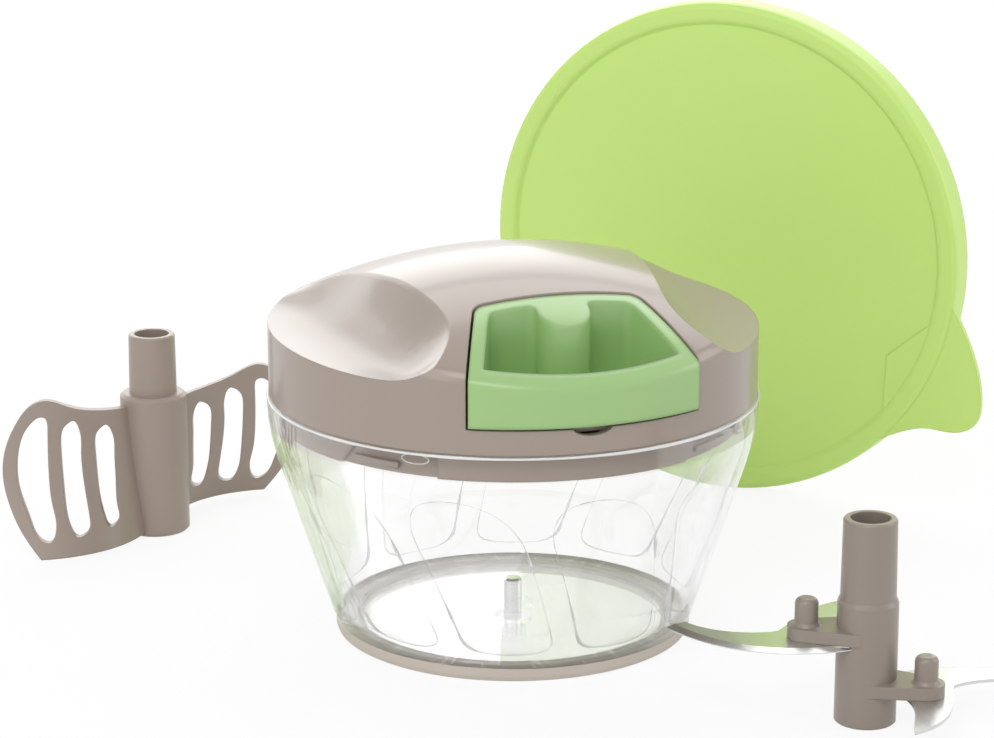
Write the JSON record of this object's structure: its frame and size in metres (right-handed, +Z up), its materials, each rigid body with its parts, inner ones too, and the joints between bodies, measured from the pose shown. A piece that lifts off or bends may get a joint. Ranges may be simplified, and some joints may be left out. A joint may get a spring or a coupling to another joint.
{
  "type": "pull-string food chopper",
  "caption": "Hand-pulled food chopper: clear tapered bowl, domed lid with a cord-driven reel and pull handle, a blade insert, a paddle insert and a round storage lid.",
  "frame": {"origin": "on the table at the axis of the chopper's bowl", "axes": "+Z up along the bowl's axis, the pull handle faces -Y, +X to the right seen from the handle's side"},
  "size_m": [0.2793, 0.2827, 0.1492],
  "materials": {
    "clear_bowl": "clear glossy plastic",
    "soft_foot": "satin soft plastic",
    "polished_steel": "polished",
    "seal_rubber": "satin silicone",
    "taupe_plastic": "high gloss moulded plastic",
    "screw_steel": "zinc plated",
    "white_plastic": "satin moulded plastic",
    "spring_steel": "bright spring steel",
    "cord": "braided cord",
    "green_handle": "gloss moulded plastic",
    "taupe_insert": "gloss moulded plastic",
    "blade_steel": "ground stainless steel",
    "lime_lid": "satin gloss moulded plastic"
  },
  "bodies": {
    "bowl": {"bowl": "clear_bowl", "foot_ring": "soft_foot", "centre_pin": "polished_steel"},
    "seal": {"lid_seal": "seal_rubber"},
    "lid": {"housing_top": "taupe_plastic", "inner_cover": "taupe_plastic", "cover_screw_1": "screw_steel", "cover_screw_2": "screw_steel", "cover_screw_3": "screw_steel", "cover_screw_4": "screw_steel", "cord_guide": "white_plastic", "recoil_spring": "spring_steel", "reel_washer": "white_plastic"},
    "reel": {"cord_reel": "white_plastic", "drive_spindle": "white_plastic", "reel_screw": "screw_steel", "cord_winding": "cord"},
    "handle": {"pull_handle": "green_handle", "cord_crimp": "spring_steel", "pull_cord": "cord"},
    "blade_insert": {"blade_shaft": "taupe_insert", "blade_upper": "blade_steel", "blade_lower": "blade_steel"},
    "paddle_insert": {"paddle": "taupe_insert"},
    "storage_lid": {"storage_lid": "lime_lid"}
  },
  "joints": [
    {"name": "lid_lift", "type": "slide", "parent": "bowl", "child": "seal", "axis": [0, 0, 1], "range_m": [0, 0.12]},
    {"name": "lid_twist", "type": "hinge", "parent": "seal", "child": "lid", "pos_m": [0, 0, 0.065], "axis": [0, 0, 1], "range_deg": [0, 14]},
    {"name": "handle_pull", "type": "slide", "parent": "lid", "child": "handle", "axis": [0, -1, 0], "range_m": [0, 0.38], "stiffness_N_per_m": 8, "springref_m": -0.2, "deforming": ["pull_cord"]},
    {"name": "reel_spin", "type": "hinge", "parent": "lid", "child": "reel", "pos_m": [0, 0, 0.077], "axis": [0, 0, -1], "range_deg": [0, 1085]},
    {"name": "blade_lift", "type": "slide", "parent": "bowl", "child": "blade_insert", "axis": [0, 0, 1], "range_m": [0, 0.1]},
    {"name": "paddle_lift", "type": "slide", "parent": "bowl", "child": "paddle_insert", "axis": [0, 0, 1], "range_m": [0, 0.1]},
    {"name": "storage_lid_lift", "type": "slide", "parent": "bowl", "child": "storage_lid", "axis": [0, 0, 1], "range_m": [0, 0.06]}
  ],
  "couplings": [
    {"joint": "reel_spin", "follows": "handle_pull", "rad_per_m": 49.383}
  ]
}
